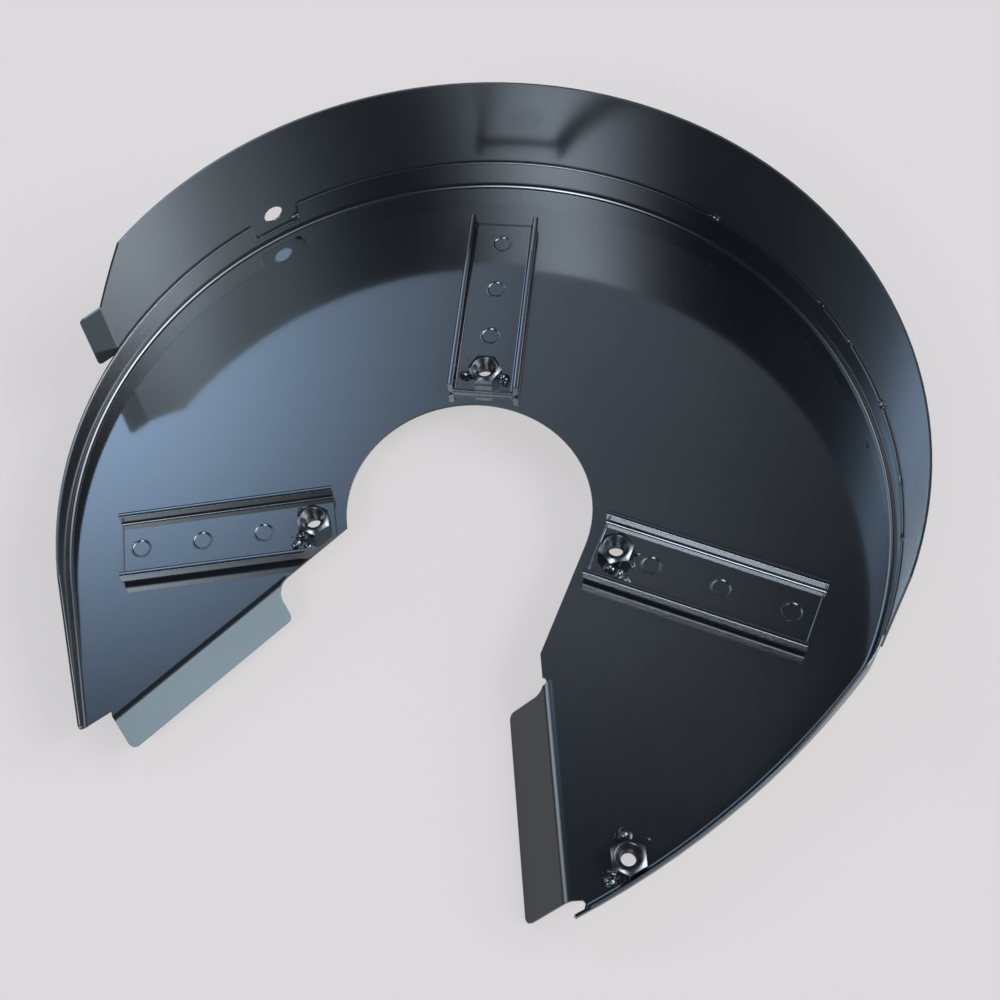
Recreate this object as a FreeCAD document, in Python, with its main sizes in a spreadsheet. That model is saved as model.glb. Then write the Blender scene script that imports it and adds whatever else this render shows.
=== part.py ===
"""Brake dust shield of a heavy disc brake, as a parametric document (millimetres).

A pressed sheet pan with an open gap for the caliper carries a tall skirt band
round its rim, three channel rails that lead to the hub, and four weld nuts.

Frame: the hub axis is Z, the front of the pan's floor is z = 0, the skirt
stands towards +Z, and the top rail points along +Y. Angles are in degrees,
measured from +X, positive towards +Y.
"""
import FreeCAD
import Part
import Sketcher
import math
import os

# Driving dimensions: name, value, meaning
DIMENSIONS = [
    ("pan_sheet", 1.5, "thickness of the pan's sheet"),
    ("rim_radius", 225.0, "inside radius of the rim"),
    ("rim_height", 20.0, "height of the rim above the floor"),
    ("rim_bend", 1.5, "inside radius of the bend between floor and rim"),
    ("flank_angle", 198.0, "where the round rim runs into the straight flank"),
    ("flank_length", 84.0, "length of the straight flank"),
    ("corner_rim_height", 4.5, "height of the rim at the end of the flank"),
    ("flat_radius", 480.0, "outside radius of the flat stretch of the rim"),
    ("flat_angle", -41.5, "direction of the flat stretch from the hub axis"),
    ("flat_depth", 8.8, "how far the flat stretch lies inside the rim's circle"),
    ("knee_radius", 60.0, "outside radius between the round rim and the flat stretch"),
    ("low_rim_height", 8.0, "height of the rim where its taper ends"),
    ("tip_rim_height", 5.0, "height of the rim at its tip"),
    ("taper_length", 60.0, "length of the rim's taper"),
    ("tip_angle", -70.6, "direction of the rim's tip from the hub axis"),
    ("hub_radius", 67.5, "radius of the hub hole"),
    ("hub_end_angle", 195.0, "where the hub hole's edge leaves towards the left flap"),
    ("left_flap_angle", 229.0, "direction in which the left bend line runs outwards"),
    ("left_flap_offset", 39.0, "distance of the left bend line from the hub axis"),
    ("left_flap_start", 110.0, "inner end of the left flap along its bend line"),
    ("left_flap_inset", 5.0, "outer end of the left flap, back from the rim's radius"),
    ("left_flap_width", 18.0, "flat width of the left flap beyond its bend"),
    ("left_flap_turn", 30.0, "how far the left flap is bent back"),
    ("left_inner_lean", 1.5, "how far the left flap's inner end leans outwards"),
    ("left_outer_lean", 3.0, "how far the left flap's outer end leans outwards"),
    ("left_edge_shift", 1.5, "distance from the left bend line to the edge that comes from the hub"),
    ("left_root_radius", 10.0, "radius between that edge and the left flap's inner end"),
    ("left_notch_depth", 3.0, "depth of the notch beside the left flap"),
    ("right_flap_angle", 280.0, "direction in which the right bend line runs outwards"),
    ("right_flap_offset", 37.3, "distance of the right bend line from the hub axis"),
    ("right_flap_start", 111.0, "inner end of the right flap along its bend line"),
    ("right_flap_inset", 4.0, "outer end of the right flap, back from the rim's radius"),
    ("right_flap_width", 30.0, "flat width of the right flap beyond its bend"),
    ("right_flap_turn", 52.0, "how far the right flap is bent back"),
    ("right_inner_lean", 1.5, "how far the right flap's inner end leans outwards"),
    ("right_outer_lean", 4.5, "how far the right flap's outer end leans outwards"),
    ("right_edge_shift", 5.1, "distance from the right bend line to the edge that comes from the hub"),
    ("right_edge_length", 21.0, "distance from the start of that edge to the right flap's inner end"),
    ("right_root_radius", 6.0, "radius between that edge and the right flap's inner end"),
    ("right_notch_depth", 7.0, "depth of the notch beside the right flap"),
    ("right_notch_corner", 2.0, "radius of the corner of the notch beside the right flap"),
    ("tip_overhang", 5.6, "length of the rim's tip past the edge of the floor"),
    ("flap_bend", 5.0, "inside radius of the flaps' bends"),
    ("flap_corner", 4.0, "radius of the flaps' free corners"),
    ("relief_radius", 1.8, "radius of the relief at the root of the right flap"),
    ("rail_angle_top", 90.0, "direction of the top rail"),
    ("rail_angle_left", 193.2, "direction of the left rail"),
    ("rail_angle_right", -15.5, "direction of the right rail"),
    ("rail_sheet", 3.0, "thickness of the rails' sheet"),
    ("rail_width", 40.0, "outside width of a rail"),
    ("rail_height", 10.0, "height of a rail's walls above the floor"),
    ("rail_margin", 6.0, "distance of a rail's inner end from the hub hole"),
    ("rail_length", 120.0, "length of a rail"),
    ("rail_bend", 1.5, "inside radius of a rail's bends"),
    ("spot_first_top", 39.0, "distance of the top rail's first spot weld from its inner end"),
    ("spot_pitch_top", 33.0, "distance between the top rail's spot welds"),
    ("spot_first_left", 40.0, "distance of the left rail's first spot weld from its inner end"),
    ("spot_pitch_left", 34.5, "distance between the left rail's spot welds"),
    ("spot_first_right", 31.0, "distance of the right rail's first spot weld from its inner end"),
    ("spot_pitch_right", 38.0, "distance between the right rail's spot welds"),
    ("spot_radius", 5.0, "radius of a spot weld's dimple"),
    ("spot_depth", 0.4, "depth of a spot weld's dimple"),
    ("nut_inset", 11.5, "distance of a rail's nut from the rail's inner end"),
    ("nut_flats", 17.0, "width of a nut across its flats"),
    ("nut_height", 8.0, "height of a nut"),
    ("nut_bore", 4.25, "radius of a nut's thread core"),
    ("nut_face", 7.5, "radius of the round face on top of a nut"),
    ("nut_crown", 1.2, "height of the slope round a nut's top face"),
    ("nut_mouth", 6.5, "radius of the countersink in a nut's mouth"),
    ("bolt_clearance", 1.25, "how much wider than the thread core the holes behind the nuts are"),
    ("lower_nut_angle", -50.7, "direction of the lower nut, about the centre of the flat stretch"),
    ("lower_nut_gap", 1.7, "distance between the lower nut and the rim"),
    ("band_sheet", 1.2, "thickness of the skirt band"),
    ("band_top", 85.5, "height of the band's top edge above the floor"),
    ("band_bottom", 5.0, "height of the band's lower edge above the floor"),
    ("band_left_angle", 159.8, "where the band's left end is folded"),
    ("band_right_gap", 1.0, "distance of the band's right end from the knee, in degrees"),
    ("tab_length", 13.5, "length of the folded tab"),
    ("tab_turn", 24.0, "how far the tab is folded outwards"),
    ("tab_bend", 2.0, "inside radius of the tab's fold"),
    ("tab_top", 60.0, "height of the tab's top edge above the floor"),
    ("tab_bottom", 17.0, "height of the tab's lower edge above the floor"),
    ("tab_corner", 3.0, "radius of the tab's free corners"),
    ("chamfer_run", 28.0, "length of the band's cut corner along the top edge"),
    ("port_angle", 127.4, "direction of the hole in the band"),
    ("port_height", 20.0, "height of the hole in the band above the floor"),
    ("port_radius", 6.0, "radius of the hole in the band"),
    ("port_notch_width", 30.0, "width of the rim's notch behind the hole"),
    ("port_notch_floor", 7.0, "height of the notch's lower edge above the floor"),
    ("port_notch_corner", 5.0, "radius of the notch's lower corners"),
    ("tack_length", 11.0, "length of a tack weld along the rim"),
    ("tack_width", 5.0, "width of a tack weld across the rim"),
    ("tack_height", 5.0, "thickness of a tack weld"),
    ("bead_length", 9.0, "length of a nut's weld bead, away from the nut"),
    ("bead_width", 7.0, "width of a nut's weld bead"),
    ("bead_height", 4.0, "height of a nut's weld bead"),
]

# Directions of the tack welds along the rim
TACK_ANGLES = [123.0, 57.3, 36.0, 28.8, 18.0, 6.2, -2.8]

# Weld beads of each nut, as directions seen from the nut's own centre
BEAD_ANGLES = {
    "top": [186.0, -4.0],
    "left": [134.0, 249.0],
    "right": [-67.0, 87.0],
    "lower": [103.0, 229.0],
}

# Sizes that only have to reach past the sheet that a cut goes through
CUT_REACH = 40.0
CUT_MARGIN = 20.0

SPOT_COUNT = 3
UP = FreeCAD.Vector(0, 0, 1)

doc = FreeCAD.newDocument("BrakeDustShield")
sheet = doc.addObject("Spreadsheet::Sheet", "Dims")


def fill_sheet():
    """Write the driving dimensions into the sheet, one named cell each."""
    for row, (alias, value, meaning) in enumerate(DIMENSIONS, start=1):
        sheet.set("A%d" % row, meaning)
        sheet.set("B%d" % row, str(value))
        sheet.setAlias("B%d" % row, alias)
    doc.recompute()


def size(alias):
    """Value of one named cell."""
    return float(sheet.get(alias))


def direction(angle):
    """Unit vector in the floor's plane."""
    turn = math.radians(angle)
    return FreeCAD.Vector(math.cos(turn), math.sin(turn), 0)


def polar(radius, angle):
    """Point in the floor's plane, from the hub axis."""
    return direction(angle) * radius


def angle_of(vector):
    """Direction of a vector in the floor's plane."""
    return math.degrees(math.atan2(vector.y, vector.x))


# Sketching

def start_body(name):
    """New body that carries one sub-part."""
    body = doc.addObject("PartDesign::Body", name)
    body.Label = name
    return body


def sketch_at(body, name, origin=FreeCAD.Vector(), x_axis=FreeCAD.Vector(1, 0, 0),
              y_axis=FreeCAD.Vector(0, 1, 0)):
    """Sketch on the body's floor plane, offset to an origin and two axes."""
    sketch = body.newObject("Sketcher::SketchObject", name)
    plane = [item for item in body.Origin.OriginFeatures if item.Role == "XY_Plane"][0]
    sketch.AttachmentSupport = [(plane, "")]
    sketch.MapMode = "FlatFace"
    turn = FreeCAD.Rotation(x_axis, y_axis, x_axis.cross(y_axis), "ZXY")
    sketch.AttachmentOffset = FreeCAD.Placement(origin, turn)
    return sketch


def standing_sketch(body, name, radius, angle):
    """Upright sketch that faces outwards, x along the rim towards +angle, y up."""
    return sketch_at(body, name, polar(radius, angle), direction(angle + 90), UP)


def draw_line(sketch, start, end):
    """Add one straight edge."""
    return sketch.addGeometry(Part.LineSegment(start, end), False)


def draw_arc(sketch, centre, radius, start_angle, end_angle, cell=None):
    """Add one arc, anticlockwise; its radius may be bound to an expression."""
    circle = Part.Circle(centre, UP, radius)
    arc = Part.ArcOfCircle(circle, math.radians(start_angle), math.radians(end_angle))
    index = sketch.addGeometry(arc, False)
    if cell:
        bind(sketch, Sketcher.Constraint("Radius", index, radius), "radius_%d" % index, cell)
    return index


def draw_circle(sketch, centre, radius, cell):
    """Add one circle whose radius is bound to an expression."""
    index = sketch.addGeometry(Part.Circle(centre, UP, radius), False)
    bind(sketch, Sketcher.Constraint("Radius", index, radius), "radius_%d" % index, cell)
    return index


def draw_polygon(sketch, points):
    """Add a closed outline of straight edges."""
    for start, end in zip(points, points[1:] + points[:1]):
        draw_line(sketch, start, end)


def bind(sketch, constraint, name, expression):
    """Add a named constraint that follows an expression."""
    index = sketch.addConstraint(constraint)
    sketch.renameConstraint(index, name)
    sketch.setExpression("Constraints." + name, expression)


# Features

def pad(body, sketch, expression):
    """Raise a sketch along its normal."""
    feature = body.newObject("PartDesign::Pad", sketch.Name + "_pad")
    feature.Profile = sketch
    feature.setExpression("Length", expression)
    doc.recompute()
    return feature


def pocket(body, sketch, reach=None, outwards=False):
    """Cut a sketch out of the body, through everything or to a reach."""
    before = body.Shape.Volume
    feature = body.newObject("PartDesign::Pocket", sketch.Name + "_cut")
    feature.Profile = sketch
    feature.Reversed = outwards
    if reach is None:
        feature.Type = "ThroughAll"
        feature.Midplane = True
    elif isinstance(reach, str):
        feature.setExpression("Length", reach)
    else:
        feature.Length = reach
    doc.recompute()
    if not body.Shape.Volume < before:
        raise RuntimeError("%s cuts nothing" % feature.Name)
    return feature


def fillet(body, name, wanted, expression):
    """Round the edges of the body that a test picks."""
    base = body.Tip
    names = ["Edge%d" % number for number, edge in enumerate(base.Shape.Edges, start=1) if wanted(edge)]
    if not names:
        raise RuntimeError("%s finds no edge" % name)
    feature = body.newObject("PartDesign::Fillet", name)
    feature.Base = (base, names)
    feature.setExpression("Radius", expression)
    doc.recompute()
    return feature


def middle(edge):
    """Point half-way along an edge."""
    return edge.valueAt((edge.FirstParameter + edge.LastParameter) / 2)


def is_level(edge, height):
    """True where an edge lies at one height."""
    box = edge.BoundBox
    return abs(box.ZMin - height) < 1e-4 and abs(box.ZMax - height) < 1e-4


# Geometry that several pieces share

class Rim:
    """Outline of the pan: straight flank, round rim, knee, flat stretch, tip.

    The same centres serve the outside of the rim and, one sheet further in,
    its inside.
    """

    def __init__(self):
        self.radius = size("rim_radius") + size("pan_sheet")
        self.flat_radius = size("flat_radius")
        self.knee_radius = size("knee_radius")
        lowest = self.radius - size("flat_depth")
        self.flat_centre = polar(lowest - self.flat_radius, size("flat_angle"))
        self.knee_centre = self.find_knee()
        self.knee_start = angle_of(self.knee_centre)
        self.knee_end = angle_of(self.knee_centre - self.flat_centre)
        self.tip = self.on_flat_from_hub(size("tip_angle"))
        self.tip_turn = angle_of(self.tip - self.flat_centre)
        self.flank_start = polar(self.radius, size("flank_angle"))
        self.flank_way = direction(size("flank_angle") + 90)
        self.corner = self.flank_start + self.flank_way * size("flank_length")

    def find_knee(self):
        """Centre of the knee, inside both the rim's circle and the flat stretch."""
        near = self.radius - self.knee_radius
        far = self.flat_radius - self.knee_radius
        gap = self.flat_centre.Length
        turn = math.acos((near ** 2 + gap ** 2 - far ** 2) / (2 * near * gap))
        return polar(near, angle_of(self.flat_centre) - math.degrees(turn))

    def on_flat_from_hub(self, angle):
        """Point of the flat stretch in a direction from the hub axis."""
        way = direction(angle)
        along = way.dot(self.flat_centre)
        aside = self.flat_centre.Length ** 2 - along ** 2
        return way * (along + math.sqrt(self.flat_radius ** 2 - aside))

    def on_flat(self, turn, inset=0.0):
        """Point of the flat stretch in a direction from its own centre."""
        return self.flat_centre + direction(turn) * (self.flat_radius - inset)

    def draw(self, sketch, inset, closing, inset_cell):
        """Draw the outline, moved inwards by an inset and closed through points."""
        less = " - %s" % inset_cell if inset_cell else ""
        plus = "" if inset_cell else " + Dims.pan_sheet"
        inwards = direction(size("flank_angle")) * -inset
        draw_line(sketch, self.corner + inwards, self.flank_start + inwards)
        draw_arc(sketch, FreeCAD.Vector(), self.radius - inset, self.knee_start,
                 size("flank_angle"), "Dims.rim_radius" + plus)
        draw_arc(sketch, self.knee_centre, self.knee_radius - inset, self.knee_end,
                 self.knee_start, "Dims.knee_radius" + less)
        draw_arc(sketch, self.flat_centre, self.flat_radius - inset, self.tip_turn,
                 self.knee_end, "Dims.flat_radius" + less)
        tip = self.on_flat(self.tip_turn, inset)
        points = [tip] + closing + [self.corner + inwards]
        for start, end in zip(points, points[1:]):
            draw_line(sketch, start, end)


class BendLine:
    """Line along which a flap is bent back, with its own outward direction."""

    def __init__(self, side, turn_to_gap):
        self.name = side
        self.way = direction(size(side + "_flap_angle"))
        self.to_gap = direction(size(side + "_flap_angle") + turn_to_gap)
        self.turns_left = turn_to_gap > 0
        self.offset = size(side + "_flap_offset")
        self.start = size(side + "_flap_start")
        self.end = size("rim_radius") - size(side + "_flap_inset")
        self.inner_lean = size(side + "_inner_lean")
        self.outer_lean = size(side + "_outer_lean")
        self.notch = size(side + "_notch_depth")
        self.shift = size(side + "_edge_shift")
        self.root = size(side + "_root_radius")

    def point(self, along, towards_gap=0.0):
        """Point along the line, and a distance aside of it."""
        return self.way * along + self.to_gap * (towards_gap - self.offset)

    def edge_end(self):
        """Point where the edge that comes from the hub ends, at the flap's root."""
        return self.point(self.start - self.root, self.shift)


def hub_edge_end():
    """Point where the hub hole's edge leaves towards the left flap."""
    return polar(size("hub_radius"), size("hub_end_angle"))


def rail_start():
    """Distance of the rails' inner ends from the hub axis."""
    return size("hub_radius") + size("rail_margin")


def rail_placement(side):
    """Placement of what is drawn as a rail along +Y."""
    turn = size("rail_angle_" + side) - 90
    return FreeCAD.Placement(FreeCAD.Vector(), FreeCAD.Rotation(UP, turn))


def nut_placement(side, rim):
    """Placement of a nut, one flat towards the hub or along the rim."""
    if side == "lower":
        turn = size("lower_nut_angle")
        inset = size("pan_sheet") + size("lower_nut_gap") + size("nut_flats") / 2
        return FreeCAD.Placement(rim.on_flat(turn, inset), FreeCAD.Rotation(UP, turn - 90))
    seat = FreeCAD.Vector(0, rail_start() + size("nut_inset"), size("rail_sheet"))
    return rail_placement(side).multiply(FreeCAD.Placement(seat, FreeCAD.Rotation()))


# Shield plate

def make_shield_plate(rim, left, right):
    """Pan with its rim, hub hole, caliper gap, flaps, notches and holes."""
    body = start_body("shield_plate")
    sheet_thickness = size("pan_sheet")
    back = FreeCAD.Vector(0, 0, -sheet_thickness)

    outline = sketch_at(body, "pan_outline", back)
    rim.draw(outline, 0.0, [], None)
    pad(body, outline, "Dims.rim_height + Dims.pan_sheet")
    chord = Part.LineSegment(rim.tip, rim.corner).toShape()

    def on_chord(edge):
        point = middle(edge)
        flat = Part.Vertex(point.x, point.y, 0)
        return chord.distToShape(flat)[0] < 1e-3

    fillet(body, "rim_bend_outside", lambda edge: is_level(edge, -sheet_thickness) and not on_chord(edge),
           "Dims.rim_bend + Dims.pan_sheet")

    hollow = sketch_at(body, "pan_hollow")
    past_tip = rim.on_flat(rim.tip_turn, sheet_thickness) + FreeCAD.Vector(0, -CUT_REACH, 0)
    past_corner = rim.corner + rim.flank_way * CUT_REACH
    inside_corner = past_corner - direction(size("flank_angle")) * sheet_thickness
    rim.draw(hollow, sheet_thickness, [past_tip, inside_corner], "Dims.pan_sheet")
    pocket(body, hollow, "Dims.rim_height", outwards=True)
    fillet(body, "rim_bend_inside", lambda edge: is_level(edge, 0.0) and not on_chord(edge), "Dims.rim_bend")

    cut_gap(body, rim, left, right)
    cut_low_rim(body, rim)
    cut_flank(body, rim)
    cut_port_notch(body)
    cut_nut_holes(body, rim)
    for line in (left, right):
        add_flap(body, line)
    cut_relief(body, right)
    return body


def cut_gap(body, rim, left, right):
    """Hub hole, and the caliper gap between the two bend lines."""
    hub = sketch_at(body, "hub_hole")
    draw_circle(hub, FreeCAD.Vector(), size("hub_radius"), "Dims.hub_radius")
    pocket(body, hub)

    gap = sketch_at(body, "caliper_gap")
    below = -(rim.radius + CUT_REACH)
    overhang = math.degrees(size("tip_overhang") / rim.flat_radius)
    within_bend = size("pan_sheet") + size("rim_bend") / 2
    draw_polygon(gap, [
        FreeCAD.Vector(),
        polar(size("hub_radius"), size("rail_angle_right")),
        right.point(right.start - size("right_edge_length"), right.shift),
        right.edge_end(),
        right.point(right.start - right.root),
        right.point(right.end),
        right.point(right.end, -right.notch),
        rim.on_flat(rim.tip_turn + overhang, within_bend),
        rim.on_flat(rim.tip_turn, within_bend),
        rim.tip,
        FreeCAD.Vector(rim.tip.x, below, 0),
        FreeCAD.Vector(rim.corner.x, below, 0),
        rim.corner,
        left.point(left.end - left.notch / 2, -left.notch),
        left.point(left.end),
        left.point(left.start - left.root),
        left.edge_end(),
        hub_edge_end(),
    ])
    pocket(body, gap)
    corner = Part.Vertex(right.point(right.end, -right.notch))
    fillet(body, "right_notch_round", lambda edge: edge.distToShape(corner)[0] < 1e-3
           and edge.BoundBox.ZLength > size("pan_sheet") / 2, "Dims.right_notch_corner")


def cut_relief(body, line):
    """Small round relief where the edge from the hub meets the root of a flap."""
    relief = sketch_at(body, "bend_relief")
    draw_circle(relief, line.edge_end(), size("relief_radius"), "Dims.relief_radius")
    pocket(body, relief)


def cut_low_rim(body, rim):
    """Taper the rim from its full height down to the low stretch and its tip."""
    facing = size("flat_angle")
    plane = rim.radius - size("flat_depth") - CUT_REACH
    way = direction(facing - 90)
    sketch = sketch_at(body, "low_rim", polar(plane, facing), way, UP)
    start = rim.on_flat(rim.knee_end).dot(way)
    end = rim.tip.dot(way)
    above = size("rim_height") + CUT_MARGIN
    draw_polygon(sketch, [
        FreeCAD.Vector(start, size("rim_height"), 0),
        FreeCAD.Vector(start + size("taper_length"), size("low_rim_height"), 0),
        FreeCAD.Vector(end, size("tip_rim_height"), 0),
        FreeCAD.Vector(end + CUT_MARGIN, size("tip_rim_height"), 0),
        FreeCAD.Vector(end + CUT_MARGIN, above, 0),
        FreeCAD.Vector(start, above, 0),
    ])
    pocket(body, sketch, 2 * CUT_REACH)


def cut_flank(body, rim):
    """Taper the rim along the flank, down to its corner."""
    facing = size("flank_angle")
    sketch = sketch_at(body, "flank_taper", polar(rim.radius - CUT_MARGIN, facing), rim.flank_way, UP)
    length = size("flank_length")
    above = size("rim_height") + CUT_MARGIN
    draw_polygon(sketch, [
        FreeCAD.Vector(0, size("rim_height"), 0),
        FreeCAD.Vector(length, size("corner_rim_height"), 0),
        FreeCAD.Vector(length + CUT_MARGIN, size("corner_rim_height"), 0),
        FreeCAD.Vector(length + CUT_MARGIN, above, 0),
        FreeCAD.Vector(0, above, 0),
    ])
    pocket(body, sketch, 2 * CUT_MARGIN, outwards=True)


def cut_port_notch(body):
    """Round-cornered notch in the rim behind the hole in the band."""
    sketch = standing_sketch(body, "port_notch", size("rim_radius") - CUT_MARGIN, size("port_angle"))
    half = size("port_notch_width") / 2
    floor = size("port_notch_floor")
    corner = size("port_notch_corner")
    above = size("rim_height") + CUT_MARGIN
    draw_line(sketch, FreeCAD.Vector(-half, above, 0), FreeCAD.Vector(-half, floor + corner, 0))
    draw_arc(sketch, FreeCAD.Vector(corner - half, floor + corner, 0), corner, 180, 270,
             "Dims.port_notch_corner")
    draw_line(sketch, FreeCAD.Vector(corner - half, floor, 0), FreeCAD.Vector(half - corner, floor, 0))
    draw_arc(sketch, FreeCAD.Vector(half - corner, floor + corner, 0), corner, 270, 360,
             "Dims.port_notch_corner")
    draw_line(sketch, FreeCAD.Vector(half, floor + corner, 0), FreeCAD.Vector(half, above, 0))
    draw_line(sketch, FreeCAD.Vector(half, above, 0), FreeCAD.Vector(-half, above, 0))
    pocket(body, sketch, 2 * CUT_MARGIN, outwards=True)


def cut_nut_holes(body, rim):
    """Clearance holes in the floor behind the four nuts."""
    sketch = sketch_at(body, "nut_holes")
    radius = size("nut_bore") + size("bolt_clearance")
    for side in BEAD_ANGLES:
        seat = nut_placement(side, rim).Base
        draw_circle(sketch, FreeCAD.Vector(seat.x, seat.y, 0), radius, "Dims.nut_bore + Dims.bolt_clearance")
    pocket(body, sketch)


def add_flap(body, line):
    """Flap bent back along its line: its section, raised along the line."""
    turn = size(line.name + "_flap_turn")
    width = size(line.name + "_flap_width")
    thick = size("pan_sheet")
    inner = size("flap_bend")
    inner_end = line.start - line.root
    origin = line.point(inner_end if line.turns_left else line.end + line.outer_lean)
    sketch = sketch_at(body, line.name + "_flap", origin, line.to_gap, UP)
    centre = FreeCAD.Vector(0, -thick - inner, 0)
    front = centre + direction(90 - turn) * (inner + thick)
    rear = centre + direction(90 - turn) * inner
    reach = direction(-turn) * width
    draw_arc(sketch, centre, inner + thick, 90 - turn, 90, "Dims.flap_bend + Dims.pan_sheet")
    draw_line(sketch, front, front + reach)
    draw_line(sketch, front + reach, rear + reach)
    draw_line(sketch, rear + reach, rear)
    draw_arc(sketch, centre, inner, 90 - turn, 90, "Dims.flap_bend")
    draw_line(sketch, FreeCAD.Vector(0, -thick, 0), FreeCAD.Vector())
    pad(body, sketch, "Dims.rim_radius - Dims.{0}_flap_inset - Dims.{0}_flap_start"
        " + Dims.{0}_root_radius + Dims.{0}_outer_lean".format(line.name))
    far = front + reach
    trim_flap(body, line, far.x)
    edge_line = line.point(0.0, far.x)

    def free_corner(edge):
        point = middle(edge)
        aside = (point - edge_line).dot(line.to_gap)
        return edge.Length < 2 * thick and abs(aside) < thick and point.z < far.y + thick

    fillet(body, line.name + "_flap_corners", free_corner, "Dims.flap_corner")


def trim_flap(body, line, width):
    """Cut both ends of a flap along leaning lines, the inner one round its root."""
    past = width + CUT_MARGIN
    outer = sketch_at(body, line.name + "_flap_outer_end")
    pad_end = line.end + line.outer_lean
    draw_polygon(outer, [
        line.point(line.end),
        line.point(line.end + line.outer_lean * past / width, past),
        line.point(pad_end + CUT_MARGIN, past),
        line.point(pad_end + size("pan_sheet")),
    ])
    pocket(body, outer)

    inner = sketch_at(body, line.name + "_flap_inner_end")
    root_end = line.shift + line.root
    slope = line.inner_lean / (width - root_end)
    points = [
        line.point(line.start, root_end),
        line.point(line.start + slope * (past - root_end), past),
        line.point(line.start - line.root, past),
        line.edge_end(),
    ]
    for start, end in zip(points, points[1:]):
        draw_line(inner, start, end)
    outwards = angle_of(line.way)
    across = angle_of(line.to_gap * -1)
    first = across if line.turns_left else outwards
    draw_arc(inner, line.point(line.start - line.root, root_end), line.root, first, first + 90,
             "Dims.%s_root_radius" % line.name)
    pocket(body, inner)


# Skirt band

def make_skirt_band(rim):
    """Rolled strip round the rim, with a cut corner, a folded tab and one hole."""
    body = start_body("skirt_band")
    inside = rim.radius
    thick = size("band_sheet")
    outside = inside + thick
    fold = size("band_left_angle")
    end = rim.knee_start + size("band_right_gap")
    turn = size("tab_turn")
    bend = size("tab_bend")
    length = size("tab_length")

    strip = sketch_at(body, "strip", FreeCAD.Vector(0, 0, size("band_bottom")))
    centre = polar(outside + bend, fold)
    tab_way = direction(fold + 90 - turn)
    facing = fold + 180 - turn
    near = centre + direction(facing) * bend
    away = centre + direction(facing) * (bend + thick)
    draw_arc(strip, FreeCAD.Vector(), inside, end, fold, "Dims.rim_radius + Dims.pan_sheet")
    draw_arc(strip, centre, bend + thick, facing, fold + 180, "Dims.tab_bend + Dims.band_sheet")
    draw_line(strip, away, away + tab_way * length)
    draw_line(strip, away + tab_way * length, near + tab_way * length)
    draw_line(strip, near + tab_way * length, near)
    draw_arc(strip, centre, bend, facing, fold + 180, "Dims.tab_bend")
    draw_arc(strip, FreeCAD.Vector(), outside, end, fold,
             "Dims.rim_radius + Dims.pan_sheet + Dims.band_sheet")
    draw_line(strip, polar(outside, end), polar(inside, end))
    pad(body, strip, "Dims.band_top - Dims.band_bottom")

    trim_left_end(body, rim)
    hole = standing_sketch(body, "port", inside - CUT_MARGIN, size("port_angle"))
    draw_circle(hole, FreeCAD.Vector(0, size("port_height"), 0), size("port_radius"), "Dims.port_radius")
    pocket(body, hole, 2 * CUT_MARGIN, outwards=True)

    tab_end = (near + away) * 0.5 + tab_way * length

    def tab_corner(edge):
        point = middle(edge)
        flat = FreeCAD.Vector(point.x, point.y, 0)
        return edge.Length < 1.5 * thick and (flat - tab_end).Length < thick

    fillet(body, "tab_corners", tab_corner, "Dims.tab_corner")
    return body


def trim_left_end(body, rim):
    """Cut the band's top corner off and leave only the tab beyond the fold."""
    fold = size("band_left_angle")
    top = size("band_top")
    drop = top - size("tab_top")
    run = rim.radius * math.sin(size("chamfer_run") / rim.radius)
    past = size("tab_length") + CUT_MARGIN
    above = CUT_MARGIN
    corner = standing_sketch(body, "cut_corner", rim.radius - CUT_REACH, fold)
    draw_polygon(corner, [
        FreeCAD.Vector(0, size("tab_top"), 0),
        FreeCAD.Vector(past, size("tab_top"), 0),
        FreeCAD.Vector(past, top + above, 0),
        FreeCAD.Vector(-run * (1 + above / drop), top + above, 0),
    ])
    pocket(body, corner, 2 * CUT_REACH, outwards=True)
    under = standing_sketch(body, "under_tab", rim.radius - CUT_REACH, fold)
    draw_polygon(under, [
        FreeCAD.Vector(0, size("tab_bottom"), 0),
        FreeCAD.Vector(0, size("band_bottom") - above, 0),
        FreeCAD.Vector(past, size("band_bottom") - above, 0),
        FreeCAD.Vector(past, size("tab_bottom"), 0),
    ])
    pocket(body, under, 2 * CUT_REACH, outwards=True)


# Rails

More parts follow.
